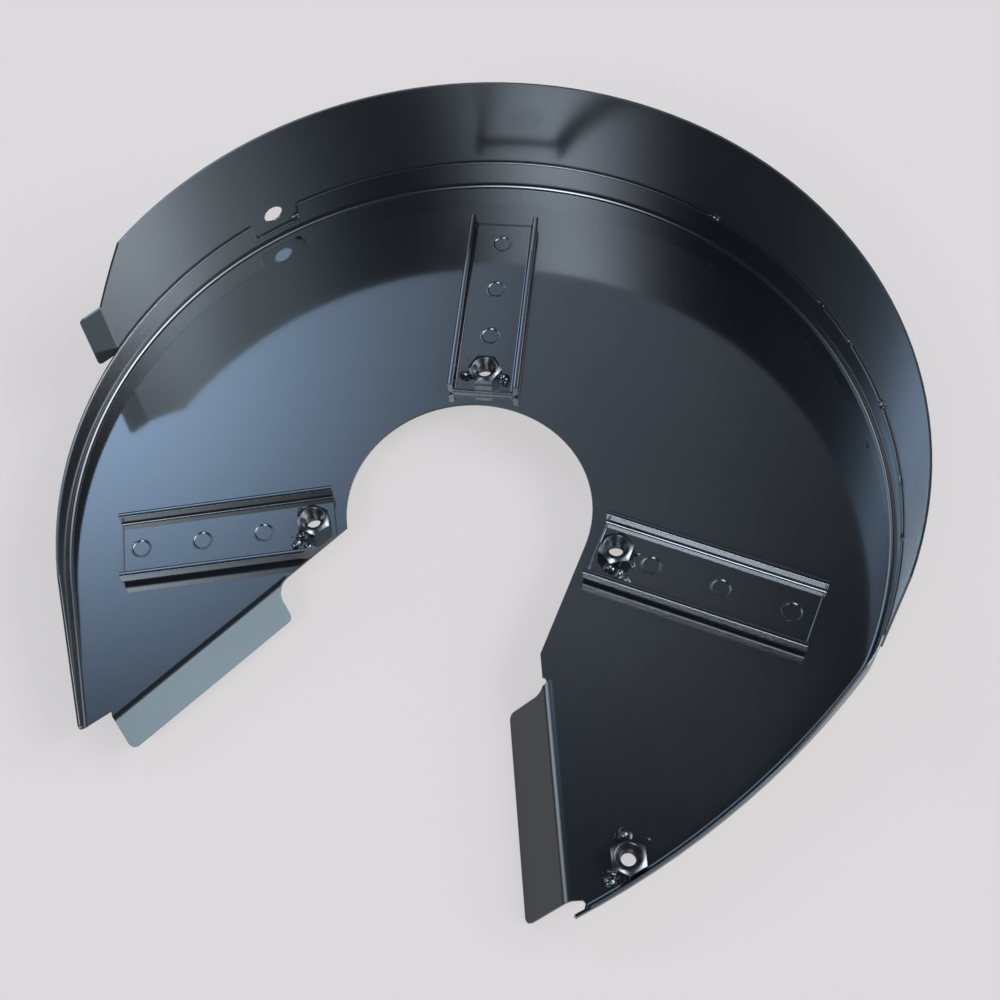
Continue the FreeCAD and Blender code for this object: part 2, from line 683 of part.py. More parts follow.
def make_rail(side, left):
    """Channel rail, drawn along +Y with its web on the floor, then turned."""
    body = start_body("rail_" + side)
    inner_end = rail_start()
    half = size("rail_width") / 2
    thick = size("rail_sheet")
    tall = size("rail_height")
    section = sketch_at(body, "rail_%s_section" % side, FreeCAD.Vector(0, inner_end, 0),
                        FreeCAD.Vector(-1, 0, 0), UP)
    draw_polygon(section, [
        FreeCAD.Vector(-half, 0, 0),
        FreeCAD.Vector(half, 0, 0),
        FreeCAD.Vector(half, tall, 0),
        FreeCAD.Vector(half - thick, tall, 0),
        FreeCAD.Vector(half - thick, thick, 0),
        FreeCAD.Vector(thick - half, thick, 0),
        FreeCAD.Vector(thick - half, tall, 0),
        FreeCAD.Vector(-half, tall, 0),
    ])
    bind(section, Sketcher.Constraint("Distance", 0, 2 * half), "width", "Dims.rail_width")
    bind(section, Sketcher.Constraint("Distance", 1, tall), "height", "Dims.rail_height")
    bind(section, Sketcher.Constraint("Distance", 2, thick), "thickness", "Dims.rail_sheet")
    pad(body, section, "Dims.rail_length")

    def along_rail(edge):
        return edge.BoundBox.YLength > size("rail_length") / 2

    fillet(body, "rail_%s_bend_inside" % side,
           lambda edge: along_rail(edge) and is_level(edge, thick), "Dims.rail_bend")
    fillet(body, "rail_%s_bend_outside" % side,
           lambda edge: along_rail(edge) and is_level(edge, 0.0), "Dims.rail_bend + Dims.rail_sheet")

    hole = sketch_at(body, "rail_%s_hole" % side, FreeCAD.Vector(0, inner_end + size("nut_inset"), thick))
    draw_circle(hole, FreeCAD.Vector(), size("nut_bore") + size("bolt_clearance"),
                "Dims.nut_bore + Dims.bolt_clearance")
    pocket(body, hole)

    if side == "left":
        trim_left_rail(body, left)

    first_spot = FreeCAD.Vector(0, inner_end + size("spot_first_" + side), thick)
    spot = sketch_at(body, "rail_%s_spot" % side, first_spot)
    draw_circle(spot, FreeCAD.Vector(), size("spot_radius"), "Dims.spot_radius")
    dimple = pocket(body, spot, "Dims.spot_depth")
    row = body.newObject("PartDesign::LinearPattern", "rail_%s_spots" % side)
    row.Originals = [dimple]
    row.Direction = (spot, ["V_Axis"])
    row.setExpression("Length", "Dims.spot_pitch_%s * %d" % (side, SPOT_COUNT - 1))
    row.Occurrences = SPOT_COUNT
    body.Tip = row
    body.Placement = rail_placement(side)
    return body


def trim_left_rail(body, left):
    """Cut the left rail's inner corner along the edge of the pan."""
    to_rail = rail_placement("left").inverse()
    start = to_rail.multVec(hub_edge_end())
    end = to_rail.multVec(left.edge_end())
    way = (end - start).normalize()
    aside = FreeCAD.Vector(-way.y, way.x, 0)
    begin = start - way * CUT_REACH
    finish = end + way * CUT_REACH
    cut = sketch_at(body, "rail_left_trim")
    draw_polygon(cut, [begin, finish, finish + aside * CUT_REACH, begin + aside * CUT_REACH])
    pocket(body, cut)


# Weld nuts

def primitive(kind, name, **cells):
    """Primitive solid whose properties follow expressions."""
    item = doc.addObject("Part::" + kind, name)
    for key, expression in cells.items():
        item.setExpression(key, expression)
    return item


def combine(kind, name, first, second):
    """Boolean of two solids."""
    item = doc.addObject("Part::" + kind, name)
    item.Base = first
    item.Tool = second
    return item


def hexagon(name):
    """Six-sided block of a nut, with a flat towards -Y."""
    block = primitive("Prism", name, Circumradius="Dims.nut_flats / sqrt(3)", Height="Dims.nut_height")
    block.Polygon = 6
    return block


def make_nut(side, rim):
    """Hexagon nut with a sloped crown, a threaded core and a countersunk mouth."""
    name = "nut_" + side
    block = hexagon(name + "_block")
    crown = primitive("Cone", name + "_crown",
                      Radius1="Dims.nut_face + Dims.nut_height * (Dims.nut_flats / sqrt(3) - Dims.nut_face)"
                              " / Dims.nut_crown",
                      Radius2="Dims.nut_face", Height="Dims.nut_height")
    sloped = combine("Common", name + "_sloped", block, crown)
    core = primitive("Cylinder", name + "_core", Radius="Dims.nut_bore", Height="Dims.nut_height")
    bored = combine("Cut", name + "_bored", sloped, core)
    mouth = primitive("Cone", name + "_mouth", Radius1="Dims.nut_bore", Radius2="Dims.nut_mouth",
                      Height="Dims.nut_mouth - Dims.nut_bore")
    mouth.setExpression("Placement.Base.z", "Dims.nut_height - Dims.nut_mouth + Dims.nut_bore")
    nut = combine("Cut", name, bored, mouth)
    nut.Label = name
    nut.Placement = nut_placement(side, rim)
    return nut


# Welds

def make_nut_beads(rim):
    """Weld beads that lie against the nuts, each on what its nut sits on."""
    groups = []
    for side, angles in BEAD_ANGLES.items():
        place = nut_placement(side, rim)
        turn = angle_of(place.Rotation.multVec(FreeCAD.Vector(1, 0, 0)))
        lumps = []
        for number, angle in enumerate(angles):
            lump = primitive("Ellipsoid", "bead_%s_%d" % (side, number), Radius1="Dims.bead_height",
                             Radius2="Dims.bead_length / 2", Radius3="Dims.bead_width / 2")
            lump.Angle1 = 0
            local = angle - turn
            seat = polar(size("nut_flats") / 2 + size("bead_length") / 4, local)
            lump.Placement = FreeCAD.Placement(seat, FreeCAD.Rotation(UP, local))
            lumps.append(lump)
        pair = doc.addObject("Part::Compound", "beads_%s_raw" % side)
        pair.Links = lumps
        group = combine("Cut", "beads_" + side, pair, hexagon("bead_seat_" + side))
        group.Placement = place
        groups.append(group)
    beads = doc.addObject("Part::Compound", "nut_weld_beads")
    beads.Links = groups
    beads.Label = "nut_weld_beads"
    return beads


def make_tack_welds():
    """Lumps on the rim's top edge that hold the band, hanging over its inside."""
    lumps = []
    for number, angle in enumerate(TACK_ANGLES):
        lump = primitive("Ellipsoid", "tack_%d" % number, Radius1="Dims.tack_height / 2",
                         Radius2="Dims.tack_width / 2", Radius3="Dims.tack_length / 2")
        seat = polar(size("rim_radius") + size("pan_sheet") / 2, angle)
        seat.z = size("rim_height") + size("pan_sheet") / 2
        lump.Placement = FreeCAD.Placement(seat, FreeCAD.Rotation(UP, angle))
        lumps.append(lump)
    raw = doc.addObject("Part::Compound", "tacks_raw")
    raw.Links = lumps
    within = primitive("Cylinder", "tacks_within", Radius="Dims.rim_radius + Dims.pan_sheet",
                       Height="Dims.band_top")
    inside = combine("Common", "tacks_inside", raw, within)
    wall = primitive("Cylinder", "tacks_wall", Radius="Dims.rim_radius + Dims.pan_sheet",
                     Height="Dims.rim_height")
    room = primitive("Cylinder", "tacks_room", Radius="Dims.rim_radius", Height="Dims.rim_height")
    ring = combine("Cut", "tacks_ring", wall, room)
    tacks = combine("Cut", "band_tack_welds", inside, ring)
    tacks.Label = "band_tack_welds"
    return tacks


# Check and write

def check(subparts):
    """Stop at a failed object or at a shape that is empty or not valid."""
    for item in doc.Objects:
        if "Invalid" in item.State or "Error" in item.State:
            raise RuntimeError("%s failed: %s" % (item.Name, item.State))
    for item in subparts:
        if item.Shape.isNull() or not item.Shape.isValid() or not item.Shape.Solids:
            raise RuntimeError("%s has no valid solid" % item.Label)


def write(subparts):
    """Write each sub-part to its own file and say what it measures."""
    os.makedirs("parts", exist_ok=True)
    for item in subparts:
        item.Shape.exportStep("parts/%s.step" % item.Label)
        box = item.Shape.BoundBox
        print("%-16s %2d solids %9.0f mm3  x %.1f %.1f  y %.1f %.1f  z %.1f %.1f" % (
            item.Label, len(item.Shape.Solids), item.Shape.Volume,
            box.XMin, box.XMax, box.YMin, box.YMax, box.ZMin, box.ZMax))


def main():
    """Build every sub-part, check them and write them."""
    fill_sheet()
    rim = Rim()
    left = BendLine("left", 90)
    right = BendLine("right", -90)
    subparts = [make_shield_plate(rim, left, right), make_skirt_band(rim)]
    for side in ("top", "left", "right"):
        subparts.append(make_rail(side, left))
    for side in BEAD_ANGLES:
        subparts.append(make_nut(side, rim))
    subparts.append(make_nut_beads(rim))
    subparts.append(make_tack_welds())
    doc.recompute()
    check(subparts)
    write(subparts)


main()
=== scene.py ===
"""Looks of a brake dust shield: black gloss paint, lumpy welds, soft light (metres)."""
import math

import bpy
import numpy as np
from mathutils import Euler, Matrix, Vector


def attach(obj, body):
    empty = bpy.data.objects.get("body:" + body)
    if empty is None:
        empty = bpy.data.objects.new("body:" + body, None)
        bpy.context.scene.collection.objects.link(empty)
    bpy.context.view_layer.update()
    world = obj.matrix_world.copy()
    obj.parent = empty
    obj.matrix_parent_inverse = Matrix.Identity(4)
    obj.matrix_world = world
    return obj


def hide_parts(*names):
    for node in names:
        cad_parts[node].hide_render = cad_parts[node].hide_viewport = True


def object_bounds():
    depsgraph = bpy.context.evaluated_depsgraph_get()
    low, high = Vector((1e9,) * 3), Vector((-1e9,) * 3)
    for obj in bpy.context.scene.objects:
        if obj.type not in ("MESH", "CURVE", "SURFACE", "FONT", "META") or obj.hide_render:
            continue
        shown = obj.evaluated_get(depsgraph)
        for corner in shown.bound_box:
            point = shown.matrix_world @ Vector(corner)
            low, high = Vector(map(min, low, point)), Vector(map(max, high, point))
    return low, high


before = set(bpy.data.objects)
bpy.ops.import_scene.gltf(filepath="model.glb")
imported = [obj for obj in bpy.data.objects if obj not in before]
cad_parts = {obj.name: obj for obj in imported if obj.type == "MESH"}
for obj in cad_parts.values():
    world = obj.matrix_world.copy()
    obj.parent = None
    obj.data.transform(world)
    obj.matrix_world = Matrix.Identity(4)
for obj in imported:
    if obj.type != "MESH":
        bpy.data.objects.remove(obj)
CAD_LOW, CAD_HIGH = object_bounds()

MM = 0.001
SEED = 7

# Sizes of the part, in millimetres
RIM_RADIUS = 225.0
RIM_HEIGHT = 20.0
PAN_SHEET = 1.5
RAIL_SHEET = 3.0
RAIL_START = 73.5
NUT_INSET = 11.5
NUT_HEIGHT = 8.0
NUT_BORE = 4.25
NUT_MOUTH = 6.5
RAIL_WIDTH = 40.0
RAIL_HEIGHT = 10.0
RAIL_LENGTH = 120.0
SPOT_RADIUS = 5.0
SPOT_DEPTH = 0.4
FLANK_ANGLE = 198.0
FLANK_LENGTH = 84.0
FLAT_RADIUS = 480.0
FLAT_ANGLE = -41.5
FLAT_DEPTH = 8.8
KNEE_RADIUS = 60.0
TIP_TURN = -54.2
CORNER_RIM_HEIGHT = 4.5
LOW_RIM_HEIGHT = 8.0
TIP_RIM_HEIGHT = 5.0
TAPER_LENGTH = 60.0
NOTCH_ANGLE = 127.4
NOTCH_HALF_ANGLE = 4.0
NOTCH_FLOOR = 7.0
LEFT_RAIL_CUT = 91.0
LOWER_NUT_ANGLE = -50.7
LOWER_NUT_INSET = 11.7
RAIL_ANGLES = {"top": 90.0, "left": 193.2, "right": -15.5}
SPOT_ROWS = {"top": (39.0, 33.0), "left": (40.0, 34.5), "right": (31.0, 38.0)}

# Rounded and raised details that only the looks have, in millimetres
RIM_PROUD = 0.10
RIM_LIFT = 0.03
SEEN_BEND = 2.8
RIM_LIP = 0.8
RIM_LIP_BASE = 0.35
RAIL_LIP = 0.45
END_RADIUS = 1.2
END_INSET = 1.05
SPOT_LIP = 0.05
SPOT_LIP_REACH = 0.45
SPOT_LIP_WIDTH = 0.25
SPOT_SLOPE = 0.7
THREAD_PITCH = 1.5
TACK_HALF_SIZES = (3.2, 1.3, 1.6)
TACK_LIFT = 0.3
TACK_REACH = 0.9

# Colours, and the one worn corner in metres
BACKGROUND = (0.708, 0.694, 0.701, 1.0)
FLOOR_MATT = (0.650, 0.549, 0.500, 1.0)
FLOOR_MIRRORED = (0.250, 0.250, 0.250, 1.0)
PAINT_BLACK = (0.0085, 0.0096, 0.0108, 1.0)
PAINT_HAZE = (0.030, 0.032, 0.034, 1.0)
DUST_TINT = (0.85, 0.93, 1.0, 1.0)
BARE_STEEL = (0.300, 0.150, 0.095, 1.0)
BARE_CORNER = (-189.5 * MM, -149.9 * MM, 3.0 * MM)
BARE_RADIUS = 2.0 * MM


# Materials

def new_group(name, inputs, outputs):
    """Empty shader node group with named sockets; gives its tree and its two end nodes."""
    tree = bpy.data.node_groups.new(name, "ShaderNodeTree")
    for label, value in inputs:
        socket = tree.interface.new_socket(label, in_out="INPUT", socket_type="NodeSocketFloat")
        socket.default_value = value
    for label in outputs:
        tree.interface.new_socket(label, in_out="OUTPUT", socket_type="NodeSocketFloat")
    return tree, tree.nodes.new("NodeGroupInput"), tree.nodes.new("NodeGroupOutput")


def noise(tree, scale, detail, roughness=0.5):
    """Noise texture on Object coordinates."""
    place = tree.nodes.new("ShaderNodeTexCoord")
    texture = tree.nodes.new("ShaderNodeTexNoise")
    tree.links.new(place.outputs["Object"], texture.inputs["Vector"])
    texture.inputs["Detail"].default_value = detail
    texture.inputs["Roughness"].default_value = roughness
    texture.inputs["Scale"].default_value = scale
    return texture.outputs["Fac"]


def ramp(tree, value, low, high, start=0.0, end=1.0):
    """Straight-line remap of a value, clamped at both ends."""
    node = tree.nodes.new("ShaderNodeMapRange")
    tree.links.new(value, node.inputs["Value"])
    node.inputs["From Min"].default_value = low
    node.inputs["From Max"].default_value = high
    node.inputs["To Min"].default_value = start
    node.inputs["To Max"].default_value = end
    return node.outputs["Result"]


def maths(tree, operation, first, second):
    """Sum, product or the like of two values; either may be a number or a socket."""
    node = tree.nodes.new("ShaderNodeMath")
    node.operation = operation
    for index, value in enumerate((first, second)):
        if isinstance(value, (int, float)):
            node.inputs[index].default_value = value
        else:
            tree.links.new(value, node.inputs[index])
    return node.outputs[0]


def make_orange_peel():
    """Paint skin: fine ripples plus a slower waviness, as a height."""
    tree, start, end = new_group("orange_peel", [("Ripple", 1.0), ("Wave", 1.0)], ["Height"])
    ripple = maths(tree, "MULTIPLY", noise(tree, 900.0, 2.0), start.outputs["Ripple"])
    wave = maths(tree, "MULTIPLY", noise(tree, 90.0, 2.0), start.outputs["Wave"])
    tree.links.new(maths(tree, "ADD", ripple, wave), end.inputs["Height"])
    return tree


def make_workshop_haze():
    """Thin dusty haze: broad patches broken by fine grain, as a mask from 0 to 1."""
    tree, start, end = new_group("workshop_haze", [("Amount", 1.0)], ["Mask"])
    patches = ramp(tree, noise(tree, 9.0, 3.0, 0.6), 0.42, 0.72)
    grain = ramp(tree, noise(tree, 420.0, 3.0, 0.6), 0.35, 0.75, 0.4, 1.0)
    mask = maths(tree, "MULTIPLY", patches, grain)
    tree.links.new(maths(tree, "MULTIPLY", mask, start.outputs["Amount"]), end.inputs["Mask"])
    return tree


def make_bare_corner():
    """Worn corner of the pan: a ragged spot round one point, as a mask from 0 to 1."""
    tree, _, end = new_group("bare_corner", [], ["Mask"])
    place = tree.nodes.new("ShaderNodeTexCoord")
    gap = tree.nodes.new("ShaderNodeVectorMath")
    gap.operation = "DISTANCE"
    tree.links.new(place.outputs["Object"], gap.inputs[0])
    gap.inputs[1].default_value = BARE_CORNER
    ragged = ramp(tree, noise(tree, 900.0, 3.0), 0.3, 0.7, 0.7 * MM, -0.7 * MM)
    reach = maths(tree, "ADD", gap.outputs["Value"], ragged)
    tree.links.new(ramp(tree, reach, 0.8 * BARE_RADIUS, BARE_RADIUS, 1.0, 0.0), end.inputs["Mask"])
    return tree


ORANGE_PEEL = make_orange_peel()
WORKSHOP_HAZE = make_workshop_haze()
BARE_SPOT = make_bare_corner()


def place_group(tree, group, **values):
    """Put a node group into a material with its own input values."""
    node = tree.nodes.new("ShaderNodeGroup")
    node.node_tree = group
    for label, value in values.items():
        node.inputs[label].default_value = value
    return node


def gloss_paint(name, rough, haze, edge, dust=0.0, coat_rough=0.05):
    """Black gloss paint over sheet steel.

    Haze changes its colour and gloss, ripples bend the light, and dust shows where it is seen aslant.
    """
    material = bpy.data.materials.new(name)
    material.use_nodes = True
    tree = material.node_tree
    paint = tree.nodes["Principled BSDF"]
    mask = place_group(tree, WORKSHOP_HAZE, Amount=haze).outputs["Mask"]
    mix = tree.nodes.new("ShaderNodeMix")
    mix.data_type = "RGBA"
    tree.links.new(mask, mix.inputs["Factor"])
    mix.inputs[6].default_value = PAINT_BLACK
    mix.inputs[7].default_value = PAINT_HAZE
    worn = tree.nodes.new("ShaderNodeMix")
    worn.data_type = "RGBA"
    tree.links.new(place_group(tree, BARE_SPOT).outputs["Mask"], worn.inputs["Factor"])
    tree.links.new(mix.outputs[2], worn.inputs[6])
    worn.inputs[7].default_value = BARE_STEEL
    tree.links.new(worn.outputs[2], paint.inputs["Base Color"])
    tree.links.new(ramp(tree, mask, 0.0, 1.0, rough, rough + 0.12), paint.inputs["Roughness"])
    paint.inputs["Specular IOR Level"].default_value = 1.0
    paint.inputs["Coat Weight"].default_value = 1.0
    paint.inputs["Coat Roughness"].default_value = coat_rough
    paint.inputs["Sheen Weight"].default_value = dust
    paint.inputs["Sheen Roughness"].default_value = 0.35
    paint.inputs["Sheen Tint"].default_value = DUST_TINT
    bevel = tree.nodes.new("ShaderNodeBevel")
    bevel.samples = 4
    bevel.inputs["Radius"].default_value = edge
    bump = tree.nodes.new("ShaderNodeBump")
    bump.inputs["Strength"].default_value = 1.0
    bump.inputs["Distance"].default_value = 0.02 * MM
    height = place_group(tree, ORANGE_PEEL).outputs["Height"]
    tree.links.new(height, bump.inputs["Height"])
    tree.links.new(bevel.outputs["Normal"], bump.inputs["Normal"])
    tree.links.new(bump.outputs["Normal"], paint.inputs["Normal"])
    return material


SHEET_PAINT = gloss_paint("sheet_paint", 0.09, 0.22, 0.4 * MM)
BAND_PAINT = gloss_paint("band_paint", 0.22, 0.25, 0.4 * MM, dust=0.40, coat_rough=0.16)
RIM_PAINT = gloss_paint("rim_paint", 0.14, 0.2, 0.4 * MM, dust=0.1, coat_rough=0.08)
NUT_PAINT = gloss_paint("nut_paint", 0.20, 0.2, 0.3 * MM)
WELD_PAINT = gloss_paint("weld_paint", 0.14, 0.3, 0.2 * MM, dust=0.08)

for node_name, node_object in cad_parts.items():
    finish = SHEET_PAINT
    if node_name == "skirt_band":
        finish = BAND_PAINT
    if node_name.startswith("nut_"):
        finish = NUT_PAINT
    if "weld" in node_name:
        finish = WELD_PAINT
    node_object.data.materials.clear()
    node_object.data.materials.append(finish)


# Shapes worked out on grids

def wrapped_quads(rows, columns):
    """Quads of a grid whose columns close on themselves: each point, the next one, and the two below."""
    row, column = np.mgrid[0:rows - 1, 0:columns]
    right = (column + 1) % columns
    quads = np.stack([row * columns + column, row * columns + right,
                      (row + 1) * columns + right, (row + 1) * columns + column], axis=-1)
    return quads.reshape(-1, 4)


def tube(rings):
    """Closed tube: rings of points joined row by row, each end ring closed by a fan to its middle."""
    rows, columns, _ = rings.shape
    points = np.concatenate([rings.reshape(-1, 3), rings[:1].mean(axis=1), rings[-1:].mean(axis=1)])
    spoke = np.arange(columns)
    after = (spoke + 1) % columns
    last = (rows - 1) * columns
    first_cap = np.stack([after, spoke, np.full(columns, rows * columns)], axis=1)
    last_cap = np.stack([last + spoke, last + after, np.full(columns, rows * columns + 1)], axis=1)
    faces = wrapped_quads(rows, columns).tolist() + first_cap.tolist() + last_cap.tolist()
    return points, faces


def hoop(rings):
    """Closed hoop: rings of points joined row by row, the last row joined to the first."""
    rows, columns, _ = rings.shape
    faces = wrapped_quads(rows + 1, columns) % (rows * columns)
    return rings.reshape(-1, 3), faces.tolist()


def weld_lump(centre, along, up, half_sizes, draw, rings=10, spokes=16, waves=4, swell=0.16):
    """Lump of weld: an egg with three half sizes, whose radius rises and falls by a few waves across it."""
    aside = np.cross(up, along)
    polar = np.linspace(0.0, math.pi, rings + 2)[1:-1, None]
    turn = np.linspace(0.0, 2 * math.pi, spokes, endpoint=False)[None, :]
    ball = np.stack([np.sin(polar) * np.cos(turn), np.sin(polar) * np.sin(turn),
                     np.cos(polar) * np.ones_like(turn)], axis=-1)
    ball = np.concatenate([np.broadcast_to([0.0, 0.0, 1.0], (1, spokes, 3)), ball,
                           np.broadcast_to([0.0, 0.0, -1.0], (1, spokes, 3))])
    runs = draw.normal(size=(waves, 3)) * 2.2
    phases = draw.uniform(0.0, 2 * math.pi, waves)
    radius = 1.0 + swell * np.sin(ball @ runs.T + phases).mean(axis=-1) * math.sqrt(waves)
    local = ball * radius[..., None] * np.array(half_sizes)
    placed = centre + local @ np.stack([along, aside, up])
    inner = placed[1:-1].reshape(-1, 3)
    points = np.concatenate([inner, placed[:1, 0], placed[-1:, 0]])
    spoke = np.arange(spokes)
    after = (spoke + 1) % spokes
    top, bottom = rings * spokes, rings * spokes + 1
    last = (rings - 1) * spokes
    upper = np.stack([spoke, after, np.full(spokes, top)], axis=1)
    lower = np.stack([last + after, last + spoke, np.full(spokes, bottom)], axis=1)
    sides = wrapped_quads(rings, spokes)[:, ::-1]
    return points, sides.tolist() + upper.tolist() + lower.tolist()


def join(shapes):
    """Several shapes as one list of points and faces."""
    points, faces, count = [], [], 0
    for shape_points, shape_faces in shapes:
        points.append(shape_points)
        faces.extend([[index + count for index in face] for face in shape_faces])
        count += len(shape_points)
    return np.concatenate(points), faces


def add_piece(name, shape, material, replaced=(), crease=180.0):
    """Put a shape, given in millimetres, into the scene as one piece, smooth up to a crease angle."""
    points, faces = shape
    mesh = bpy.data.meshes.new(name)
    mesh.from_pydata((points * MM).tolist(), [], faces)
    mesh.polygons.foreach_set("use_smooth", np.ones(len(mesh.polygons), dtype=bool))
    mesh.set_sharp_from_angle(angle=math.radians(crease))
    mesh.materials.append(material)
    mesh.update()
    piece = bpy.data.objects.new(name, mesh)
    bpy.context.scene.collection.objects.link(piece)
    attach(piece, "root")
    if replaced:
        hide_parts(*replaced)
    return piece


def way(angle):
    """Unit direction in the floor's plane."""
    return np.array([math.cos(math.radians(angle)), math.sin(math.radians(angle)), 0.0])


UP = np.array([0.0, 0.0, 1.0])


# Welds

TACK_ANGLES = [57.3, 36.0, 28.8, 18.0, 6.2, -2.8]
NOTCH_TACK_ANGLE = 124.0
NOTCH_TACK_HEIGHT = 10.0

# Lumps of each nut's welds: direction and reach from the nut's middle, then half sizes away, aside and up
BEAD_LUMPS = {
    "top": [(188, 10.8, 3.2, 2.6, 3.2), (-9, 11.0, 3.6, 2.8, 3.2), (-22, 13.4, 2.0, 1.8, 2.0),
            (136, 14.5, 0.9, 0.9, 0.9)],
    "left": [(-132, 9.4, 3.6, 3.0, 3.6), (-123, 14.6, 3.2, 2.5, 2.6), (-98, 12.8, 2.6, 2.2, 2.2),
             (141, 11.6, 2.8, 2.3, 2.5)],
    "right": [(-106, 9.4, 3.2, 2.8, 3.4), (-78, 12.6, 3.8, 2.8, 3.2), (-68, 16.6, 3.0, 2.2, 2.4),
              (-34, 10.5, 2.2, 1.9, 2.1), (2, 11.0, 1.6, 1.5, 1.6), (88, 10.6, 2.8, 2.4, 2.8)],
    "lower": [(103, 12.8, 3.4, 3.3, 4.2), (-130, 9.8, 3.2, 2.9, 3.4), (-125, 13.8, 2.9, 2.4, 2.6),
              (53, 15.0, 0.9, 0.9, 0.9)],
}


def nut_seat(side):
    """Centre of a nut's underside."""
    if side == "lower":
        centre = way(FLAT_ANGLE) * (RIM_RADIUS + PAN_SHEET - FLAT_DEPTH - FLAT_RADIUS)
        return centre + way(LOWER_NUT_ANGLE) * (FLAT_RADIUS - LOWER_NUT_INSET)
    return way(RAIL_ANGLES[side]) * (RAIL_START + NUT_INSET) + UP * RAIL_SHEET


def nut_welds(draw):
    """Beads beside the nuts: egg-shaped lumps that run out from each nut, with small ones frozen on them."""
    lumps = []
    for side, beads in BEAD_LUMPS.items():
        for angle, reach, away, aside, tall in beads:
            middle = nut_seat(side) + way(angle) * reach
            lumps.append(weld_lump(middle, way(angle), UP, (away, aside, tall), draw, 14, 22, swell=0.2))
            shift = way(angle + draw.uniform(0, 360)) * aside * draw.uniform(0.5, 0.9)
            lift = UP * tall * draw.uniform(0.0, 0.6)
            half = draw.uniform(0.25, 0.5) * aside
            lumps.append(weld_lump(middle + shift + lift, way(angle), UP, (half, half, half), draw, 8, 12))
    return join(lumps)


def tack(middle, angle, draw):
    """Tack weld: a lump drawn out along the rim with two drops on its ends."""
    along = way(angle + 90)
    lumps = [weld_lump(middle, along, UP, TACK_HALF_SIZES, draw, 12, 20, swell=0.2)]
    for end in (-1, 1):
        place = middle + along * end * draw.uniform(2.2, 3.4) + UP * draw.uniform(-0.6, 0.5)
        half = draw.uniform(0.6, 0.95)
        lumps.append(weld_lump(place, along, UP, (half * 1.3, half, half), draw, 8, 12))
    return lumps


def band_tacks(draw):
    """Tack welds in the corner between the rim's top edge and the band, and one in the rim's notch."""
    reach = RIM_RADIUS + TACK_REACH
    lumps = tack(way(NOTCH_TACK_ANGLE) * reach + UP * NOTCH_TACK_HEIGHT, NOTCH_TACK_ANGLE, draw)
    for angle in TACK_ANGLES:
        lumps += tack(way(angle) * reach + UP * (RIM_HEIGHT + TACK_LIFT), angle, draw)
    return join(lumps)


def weld_spatter(draw):
    """Small drops that flew off the nuts' welds and froze on the sheet round them."""
    drops = []
    for side, beads in BEAD_LUMPS.items():
        for angle, *_ in beads[:2]:
            for _ in range(3):
                place = nut_seat(side) + way(angle + draw.uniform(-25, 25)) * draw.uniform(12.5, 14.8)
                half = draw.uniform(0.3, 0.6)
                drops.append(weld_lump(place, way(angle), UP, (half, half, half * 0.8), draw, 4, 8))
    return join(drops)


DRAW = np.random.default_rng(SEED)
add_piece("nut_welds", nut_welds(DRAW), WELD_PAINT, ["nut_weld_beads"])
add_piece("band_tacks", band_tacks(DRAW), WELD_PAINT, ["band_tack_welds"])
add_piece("weld_spatter", weld_spatter(DRAW), WELD_PAINT)


# Spot weld rings and threads

def spot_ring(centre):
    """Edge of a spot weld, turned about its axis: a low round lip, then a soft slope down into the dimple."""
    turn = np.linspace(0.0, 2 * math.pi, 64, endpoint=False)[:, None]
    reach = np.linspace(SPOT_RADIUS + 0.9, SPOT_RADIUS - 0.7, 18)
    slope = np.clip((SPOT_RADIUS + 0.1 - reach) / SPOT_SLOPE, 0.0, 1.0)
    slope = slope * slope * (3 - 2 * slope)
    lip = SPOT_LIP * np.exp(-((reach - SPOT_RADIUS - SPOT_LIP_REACH) / SPOT_LIP_WIDTH) ** 2)
    rise = 0.02 + lip - SPOT_DEPTH * slope
    reach = np.concatenate([reach, reach[[-1, 0]]])[None, :]
    rise = np.concatenate([rise, [-SPOT_DEPTH - 0.3] * 2])[None, :]
    rings = np.stack([reach * np.cos(turn), reach * np.sin(turn), rise * np.ones_like(turn)], axis=-1)
    return hoop(centre + rings[::-1])


def spot_rings():
    """Rings of all the spot welds along the rails."""
    rings = []
    for side, (first, pitch) in SPOT_ROWS.items():
        for number in range(3):
            reach = RAIL_START + first + pitch * number
            rings.append(spot_ring(way(RAIL_ANGLES[side]) * reach + UP * RAIL_SHEET))
    return join(rings)


def nut_thread(seat):
    """Thread of a nut: a three-sided ridge carried up a helix on the wall of the bore."""
    turns = (NUT_HEIGHT - NUT_MOUTH + NUT_BORE - 0.5) / THREAD_PITCH
    run = np.linspace(0.0, 1.0, 150)
    turn = run * turns * 2 * math.pi
    rise = 0.2 + run * turns * THREAD_PITCH
    section = [(NUT_BORE + 0.25, -0.55), (NUT_BORE - 0.45, 0.0), (NUT_BORE + 0.25, 0.55)]
    rings = np.stack([np.stack([reach * np.cos(turn), reach * np.sin(turn), rise + lift], axis=-1)
                      for reach, lift in section], axis=1)
    return tube(seat + rings)


def nut_ring(seat):
    """Bright edge of a nut's round face: a thin round ring carried about the nut's axis."""
    turn = np.linspace(0.0, 2 * math.pi, 48, endpoint=False)[:, None]
    section = np.linspace(0.0, 2 * math.pi, 10, endpoint=False)[None, :]
    reach = NUT_MOUTH + 0.5 + 0.5 * np.cos(section)
    rise = NUT_HEIGHT - 0.15 + 0.45 * np.sin(section)
    rings = np.stack([reach * np.cos(turn), reach * np.sin(turn), rise * np.ones_like(turn)], axis=-1)
    return hoop((seat + rings)[::-1])


